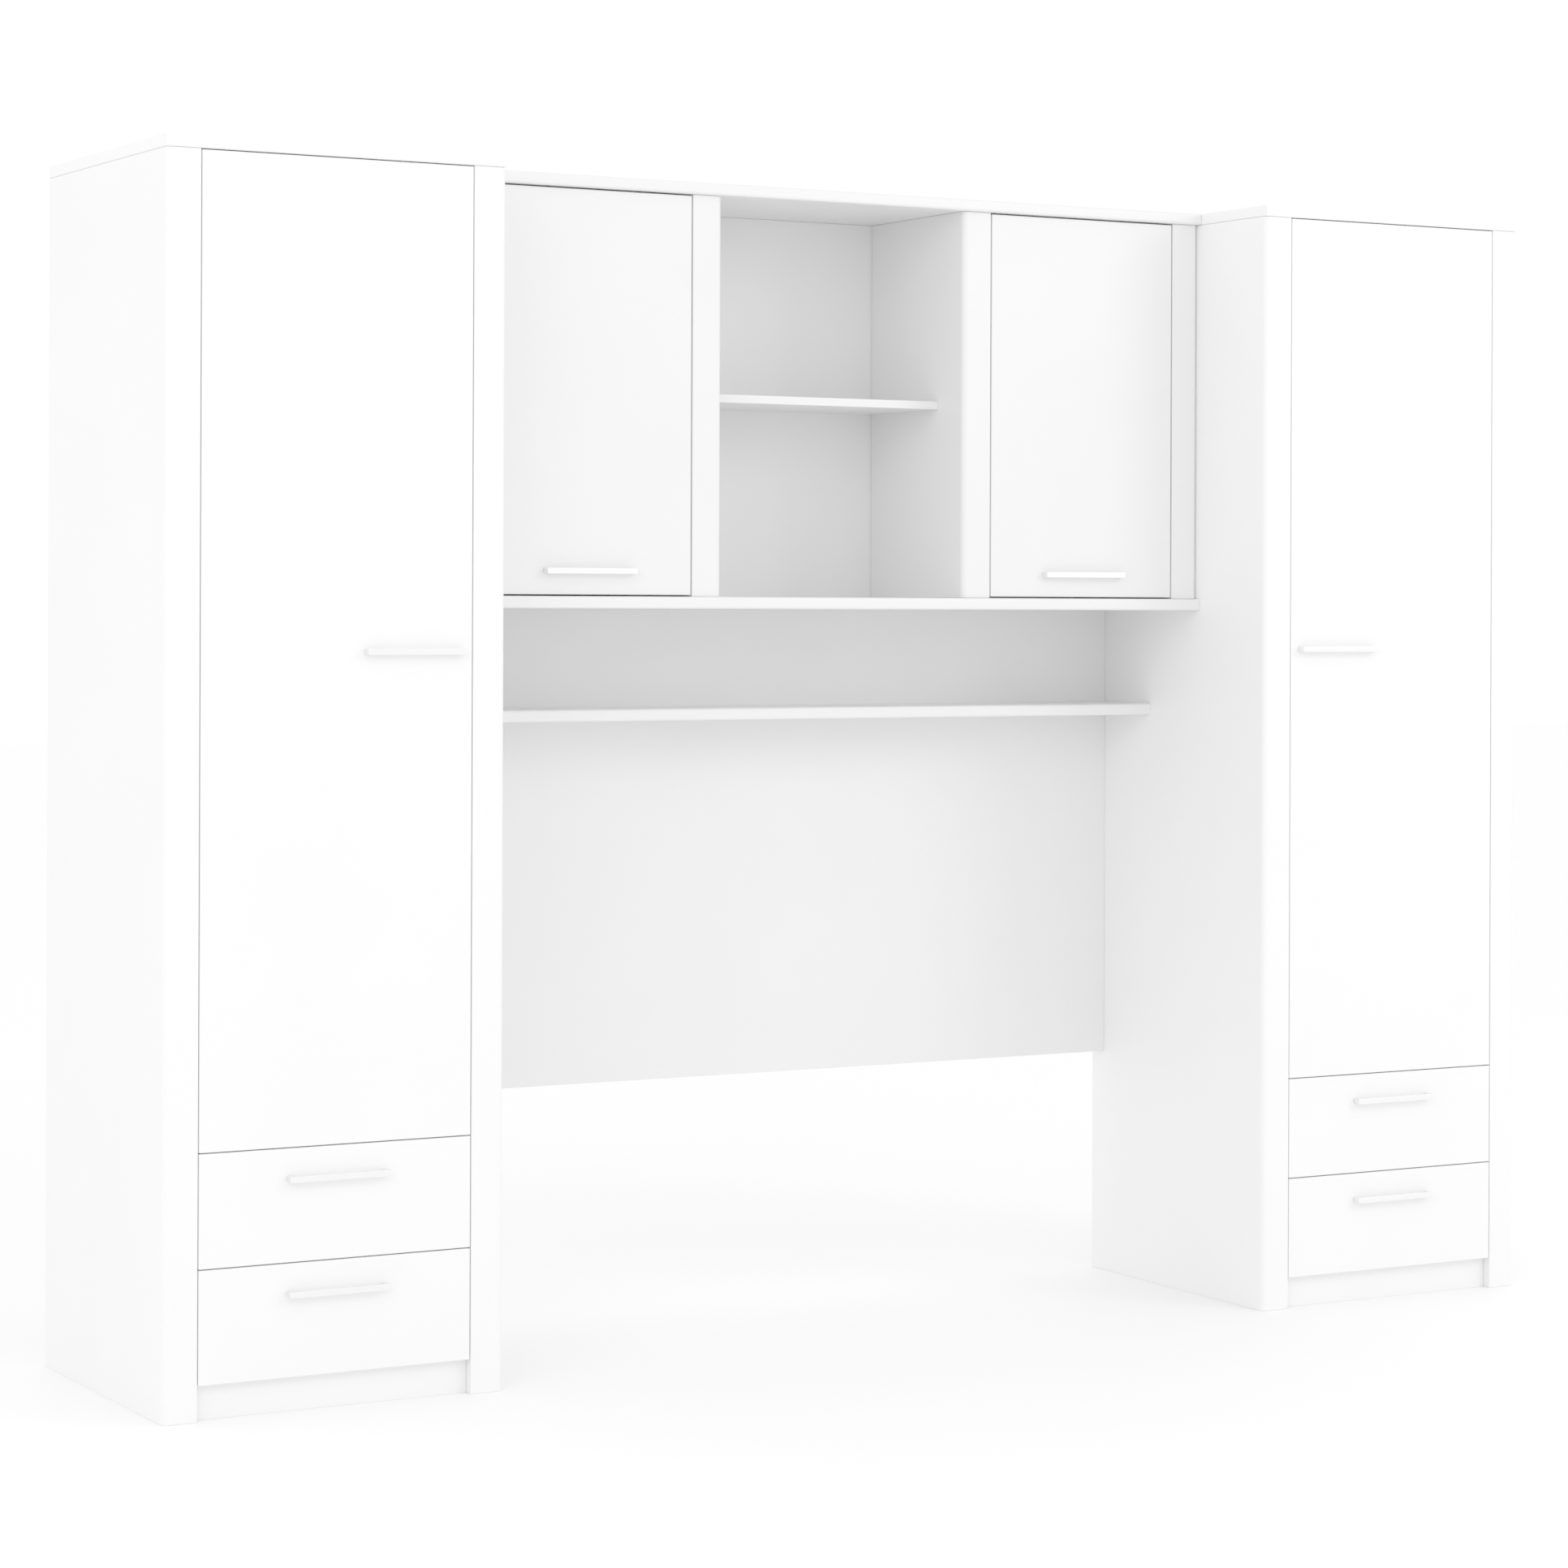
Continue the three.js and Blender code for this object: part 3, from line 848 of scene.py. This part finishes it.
def add_cups(leaf, points):
    """Cups for a door or a flap, all facing the wall, with their flanges and screws."""
    body = body_of(leaf)
    inward = (0, 1, 0)
    upright = leaf.endswith("_door")
    long_axis = Vector((0, 0, 1)) if upright else Vector((1, 0, 0))
    short_axis = Vector((1, 0, 0)) if upright else Vector((0, 0, 1))
    cup_places = [(point, inward) for point in points]
    mill_cups(bpy.data.objects[f"{leaf}_board"], cup_places)
    turned_piece(
        f"{leaf}_hinge_cups", CUP, cup_places, nickel_steel, body, HINGE_SEGMENTS
    )
    flanges = []
    screws = []
    for point in points:
        for way in (-1, 1):
            near = point + long_axis * way * (CUP_RADIUS + FLANGE_GAP)
            far = point + long_axis * way * FLANGE_HALF_LENGTH
            near -= short_axis * FLANGE_HALF_WIDTH
            far += short_axis * FLANGE_HALF_WIDTH
            near.y, far.y = (point.y + lift for lift in FLANGE_LIFT)
            flanges.append(span(near, far))
            spot = point + long_axis * way * (FLANGE_HALF_LENGTH - FLANGE_SCREW_INSET)
            screws.append((spot + Vector((0, 1.0 * MM, 0)), inward))
    blocks_piece(f"{leaf}_hinge_flanges", flanges, nickel_steel, body)
    turned_piece(f"{leaf}_hinge_screws", SMALL_HEAD, screws, zinc_steel, body)


print("cup holes are", round(2 * CUP_RADIUS / MM), "mm wide")

# %% [markdown]
# ## Hinge arms
#
# The mounting plate, the slide on it and the arm lie on top of each other like three steps, each
# narrower than the one below. Two screws fix the plate and two more set the arm's place.

# %% Hinge arms
ARM_STEPS = (
    # lower face and upper face in mm, first and last part of the arm's length, half width
    (0.1, 2.4, 0.30, 0.85, 26 * MM),
    (2.4, 4.6, 0.20, 0.95, 8.5 * MM),
    (4.6, 12.5, 0.0, 1.0, 7.0 * MM),
)
ARM_LENGTH = 60 * MM
SETTING_SCREWS = (0.38, 0.8)  # parts of the arm's length
SETTING_RISE = 12.4 * MM
PLATE_SCREW = 0.575  # part of the arm's length
PLATE_RISE = 2.3 * MM
PLATE_SCREW_REACH = 18 * MM


def add_arms(name, places, replaced=()):
    """Mounting plates and arms. A place is (middle of the arm's foot, direction away from the
    board that carries it, direction across the arm)."""
    boxes = []
    screws = []
    for foot, side, across in places:
        for rise0, rise1, part0, part1, half in ARM_STEPS:
            start = foot + side * rise0 * MM + Vector((0, ARM_LENGTH * part0, 0)) - across * half
            end = foot + side * rise1 * MM + Vector((0, ARM_LENGTH * part1, 0)) + across * half
            boxes.append(span(start, end))
        for part in SETTING_SCREWS:
            spot = foot + side * SETTING_RISE + Vector((0, ARM_LENGTH * part, 0))
            screws.append((spot, side))
        for way in (-1, 1):
            spot = foot + side * PLATE_RISE + Vector((0, ARM_LENGTH * PLATE_SCREW, 0))
            screws.append((spot + across * way * PLATE_SCREW_REACH, side))
    arms = blocks_piece(f"{name}_hinge_arms", boxes, nickel_steel, "carcass")
    if replaced:
        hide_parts(*replaced)
    turned_piece(f"{name}_arm_screws", SMALL_HEAD, screws, zinc_steel, "carcass")


print("an arm is", round(ARM_LENGTH / MM), "mm long")

# %% [markdown]
# ## Hinges in place
#
# A tall door needs three hinges and a light flap needs two. The door's arms stand on the outer
# side, and the flap's arms hang from the bridge's top board.

# %% Hinges in place
ARM_GAP = 2.5 * MM  # between the leaf's inner face and the arm
FLAP_HINGE_SPREAD = 0.28  # of the flap's width, either side of its middle

for name, side in (("left", -1), ("right", 1)):
    hinge_nodes = (f"{name}_door_hinge_lower", f"{name}_door_hinge_upper")
    heights = [sum(corner.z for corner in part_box(node)) / 2 for node in hinge_nodes]
    heights.insert(1, sum(heights) / 2)
    door_low, door_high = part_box(f"{name}_door")
    edge_x = door_low.x if side < 0 else door_high.x
    cups = [Vector((edge_x - side * CUP_INSET, door_high.y, z)) for z in heights]
    add_cups(f"{name}_door", cups)
    side_low, side_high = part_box(f"{name}_side_outer")
    wall_x = side_high.x if side < 0 else side_low.x
    feet = [Vector((wall_x, door_high.y + ARM_GAP, z)) for z in heights]
    away = Vector((-side, 0, 0))
    places = [(foot, away, Vector((0, 0, 1))) for foot in feet]
    add_arms(f"{name}_door", places, hinge_nodes)

    flap_low, flap_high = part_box(f"{name}_flap")
    middle_x = (flap_low.x + flap_high.x) / 2
    reach = (flap_high.x - flap_low.x) * FLAP_HINGE_SPREAD
    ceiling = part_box("bridge_top_board")[0].z
    xs = (middle_x - reach, middle_x + reach)
    add_cups(f"{name}_flap", [Vector((x, flap_high.y, flap_high.z - CUP_INSET)) for x in xs])
    feet = [Vector((x, flap_high.y + ARM_GAP, ceiling)) for x in xs]
    places = [(foot, Vector((0, 0, -1)), Vector((1, 0, 0))) for foot in feet]
    add_arms(f"{name}_flap", places)
print("pieces with the hinges:", piece_count())

# %% [markdown]
# ## Hanging rails
#
# The rail is an oval steel tube, chromed, and its flat sides stand upright so that it bends
# less under the clothes. Each end sits in a cast socket that hugs it.

# %% Hanging rails
RAIL_WALL = 1.2 * MM
SOCKET_THICKNESS = 7 * MM
SOCKET_MARGIN = 4 * MM
SOCKET_GAP = 0.3 * MM
OVAL_STEPS = 16


def oval(middle_y, middle_z, half_width, half_height):
    """A stadium outline in the YZ plane: two half circles joined by straight sides."""
    straight = half_height - half_width
    points = []
    for way, start in ((1, 0.0), (-1, math.pi)):
        for i in range(OVAL_STEPS + 1):
            angle = start + math.pi * i / OVAL_STEPS
            y = middle_y + half_width * math.cos(angle)
            z = middle_z + way * straight + half_width * math.sin(angle)
            points.append((y, z))
    return points


def add_sleeve(mesh, outer, inner, x0, x1):
    """A tube along X between two outlines that have the same number of points."""
    count = len(outer)
    rings = []
    for outline, x in ((outer, x0), (outer, x1), (inner, x1), (inner, x0)):
        rings.append([mesh.verts.new((x, y, z)) for y, z in outline])
    for first, second in zip(rings, rings[1:] + rings[:1]):
        for i in range(count):
            j = (i + 1) % count
            mesh.faces.new((first[i], first[j], second[j], second[i]))


for name in ("left", "right"):
    low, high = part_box(f"{name}_hanging_rail")
    middle = (low + high) / 2
    half_width = (high.y - low.y) / 2
    half_height = (high.z - low.z) / 2
    outer = oval(middle.y, middle.z, half_width, half_height)
    inner = oval(middle.y, middle.z, half_width - RAIL_WALL, half_height - RAIL_WALL)
    mesh = bmesh.new()
    add_sleeve(mesh, outer, inner, low.x, high.x)
    rail = make_piece(f"{name}_rail_tube", mesh, [chromed_steel], "carcass")
    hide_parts(f"{name}_hanging_rail")
    sockets = bmesh.new()
    hug = oval(middle.y, middle.z, half_width + SOCKET_GAP, half_height + SOCKET_GAP)
    rim = oval(middle.y, middle.z, half_width + SOCKET_MARGIN, half_height + SOCKET_MARGIN)
    for wall_x, way in ((low.x, 1), (high.x, -1)):
        add_sleeve(sockets, rim, hug, wall_x, wall_x + way * SOCKET_THICKNESS)
    make_piece(f"{name}_rail_sockets", sockets, [nickel_steel], "carcass")
print("pieces with the rails:", piece_count())

# %% [markdown]
# ## Small fittings
#
# The hat shelves lie on four pins each. Fixed boards are pulled tight by cam fittings, whose
# holes are closed with plastic caps. The bridge is bolted to the wardrobes through both boards,
# the hardboard backs are nailed round their edges, and the headboard hangs on steel angles.

# %% Small fittings
PIN_INSET = 40 * MM
PIN_DROP = 3.2 * MM  # from the shelf's underside to the middle of the pin
CAP_INSET_X = 34 * MM
CAP_INSET_Y = 60 * MM
NAIL_PITCH = 150 * MM
NAIL_INSET = 7 * MM
BACK_SCREW_PITCH = 250 * MM
BACK_SCREW_INSET = 12 * MM
BOLT_INSET = 60 * MM
BOLT_INSET_TOP = 90 * MM


def add_pins(shelf, name):
    low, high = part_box(shelf)
    z = low.z - PIN_DROP
    ys = (low.y + PIN_INSET, high.y - PIN_INSET)
    ends = ((low.x, (1, 0, 0)), (high.x, (-1, 0, 0)))
    places = [((x, y, z), way) for x, way in ends for y in ys]
    turned_piece(f"{name}_pins", SHELF_PIN, places, nickel_steel, "carcass")


def add_caps(board, name):
    low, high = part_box(board)
    ys = (low.y + CAP_INSET_Y, high.y - CAP_INSET_Y)
    xs = (low.x + CAP_INSET_X, high.x - CAP_INSET_X)
    places = [((x, y, high.z), (0, 0, 1)) for x in xs for y in ys]
    turned_piece(f"{name}_caps", COVER_CAP, places, polyethylene_cap, "carcass")


def rim_points(low, high, inset, pitch):
    """Points round a rectangle seen from behind, a little inside its edges."""
    across = max(2, round((high.x - low.x) / pitch) + 1)
    up = max(2, round((high.z - low.z) / pitch) + 1)
    xs = spread(low.x + inset, high.x - inset, across)
    zs = spread(low.z + inset, high.z - inset, up)
    rim = [(x, z) for x in xs for z in (zs[0], zs[-1])]
    rim += [(x, z) for x in (xs[0], xs[-1]) for z in zs[1:-1]]
    return [(x, high.y, z) for x, z in rim]


def add_back_fixings(panel, name, profile, inset, pitch):
    low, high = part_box(panel)
    places = [(point, (0, 1, 0)) for point in rim_points(low, high, inset, pitch)]
    turned_piece(name, profile, places, zinc_steel, "carcass", 12)


def add_bolts(end_board, name, side):
    """Connecting bolts: heads in the flap bay and nuts inside the wardrobe."""
    low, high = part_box(end_board)
    bay_x = high.x if side < 0 else low.x
    inner_low, inner_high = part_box(f"{name}_side_inner")
    wardrobe_x = inner_low.x if side < 0 else inner_high.x
    ys = (low.y + BOLT_INSET, high.y - BOLT_INSET)
    zs = (low.z + BOLT_INSET, high.z - BOLT_INSET_TOP)
    places = [((bay_x, y, z), (-side, 0, 0)) for y in ys for z in zs]
    places += [((wardrobe_x, y, z), (side, 0, 0)) for y in ys for z in zs]
    turned_piece(
        f"{name}_bridge_bolts", CONNECTOR_HEAD, places, nickel_steel, "carcass"
    )


ANGLE_LEG = 38 * MM
ANGLE_WIDTH = 20 * MM
ANGLE_STEEL = 2 * MM
ANGLE_GAP = 0.2 * MM  # clear of both boards
ANGLE_WALL_GAP = 1 * MM
ANGLE_RISE = 120 * MM  # from the headboard's lower edge
ANGLE_DROP = 140 * MM  # from its upper edge
ANGLE_SCREW = 0.7  # part of the leg's length


def add_angles(name, side):
    """Two steel angles between the headboard's back and the wardrobe's side."""
    low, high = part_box("headboard_panel")
    inner_low, inner_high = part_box(f"{name}_side_inner")
    face_x = inner_high.x if side < 0 else inner_low.x
    limit_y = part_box("bridge_bottom_board")[1].y
    leg_y = min(ANGLE_LEG, limit_y - high.y - ANGLE_WALL_GAP)
    near_x = face_x - side * ANGLE_GAP
    near_y = high.y + ANGLE_GAP
    boxes = []
    screws = []
    for z in (low.z + ANGLE_RISE, high.z - ANGLE_DROP):
        start = (near_x, near_y, z - ANGLE_WIDTH / 2)
        top = z + ANGLE_WIDTH / 2
        boxes.append(span(start, (face_x - side * ANGLE_LEG, near_y + ANGLE_STEEL, top)))
        boxes.append(span(start, (near_x - side * ANGLE_STEEL, high.y + leg_y, top)))
        spot = (face_x - side * ANGLE_SCREW * ANGLE_LEG, near_y + ANGLE_STEEL, z)
        screws.append((spot, (0, 1, 0)))
    blocks_piece(f"{name}_headboard_angles", boxes, zinc_steel, "carcass")
    turned_piece(
        f"{name}_angle_screws", SCREW_HEAD, screws, nickel_steel, "carcass"
    )


for name, side in (("left", -1), ("right", 1)):
    add_pins(f"{name}_hat_shelf", f"{name}_hat_shelf")
    add_caps(f"{name}_drawer_shelf", f"{name}_drawer_shelf")
    add_back_fixings(f"{name}_back_panel", f"{name}_back_nails", NAIL_HEAD, NAIL_INSET, NAIL_PITCH)
    add_bolts(f"bridge_end_{name}", name, side)
    add_angles(name, side)
add_back_fixings(
    "bridge_back_panel", "bridge_back_screws", SMALL_HEAD, BACK_SCREW_INSET, BACK_SCREW_PITCH
)
print("all pieces:", piece_count())

# %% [markdown]
# ## Stage and light
#
# White furniture is shown on a plain pale floor under a large even light, so that its edges and
# gaps draw it. The world gives that light from all round. Two wide softboxes, one on each side
# of the camera, add the slow change of tone from face to face.

# %% Stage and light
MIDDLE = (0, 0, 1.2)  # the point that the softboxes face
FLOOR_SIZE = 60.0
PAINT_CLOUD_MM = 900
floor_paint, floor_tree, floor_shader = new_material("floor_paint", Roughness=0.6)
floor_cloud = noise(floor_tree, place_of(floor_tree), PAINT_CLOUD_MM)
floor_colour = tint(floor_tree, floor_cloud, "#f8f8f8", "#f6f6f6")
floor_tree.links.new(floor_colour, floor_shader.inputs["Base Color"])


def add_floor(size):
    mesh = bmesh.new()
    bmesh.ops.create_grid(mesh, x_segments=1, y_segments=1, size=size / 2)
    data = bpy.data.meshes.new("floor")
    mesh.to_mesh(data)
    mesh.free()
    floor = bpy.data.objects.new("floor", data)
    bpy.context.scene.collection.objects.link(floor)
    data.materials.append(floor_paint)


def add_light(name, place, target, size, watts):
    data = bpy.data.lights.new(name, "AREA")
    data.shape = "SQUARE"
    data.size = size
    data.energy = watts
    light = bpy.data.objects.new(name, data)
    direction = Vector(target) - Vector(place)
    light.rotation_euler = direction.to_track_quat("-Z", "Y").to_euler()
    light.location = place
    bpy.context.scene.collection.objects.link(light)


def add_sky(strength):
    world = bpy.data.worlds.new("studio")
    world.use_nodes = True
    world.node_tree.nodes["Background"].inputs["Color"].default_value = (1, 1, 1, 1)
    world.node_tree.nodes["Background"].inputs["Strength"].default_value = strength
    bpy.context.scene.world = world


add_floor(FLOOR_SIZE)
add_sky(1.05)
add_light("softbox_left", (-4.5, -4.0, 3.2), MIDDLE, 2.4, 38)
add_light("softbox_right", (3.6, -4.4, 3.4), MIDDLE, 2.0, 42)
bpy.context.scene.view_settings.view_transform = "Standard"
bpy.context.scene.view_settings.gamma = 1.6
print("lights:", len(bpy.data.lights), "and an even world")

# %% [markdown]
# ## The end
#
# The nodes of the imported model take the finish that belongs to their material slot, also those
# that a fine board now stands for.

# %% The end
FINISHES = {
    "white_board": white_melamine,
    "inner_board": carcass_melamine,
    "drawer_board": drawer_foil,
    "hardboard": lacquered_hardboard,
    "handle_aluminium": satin_aluminium,
    "fitting_steel": zinc_steel,
}
for node in nodes.values():
    node.data.materials.clear()
    node.data.materials.append(FINISHES[slot_of(node.name)])
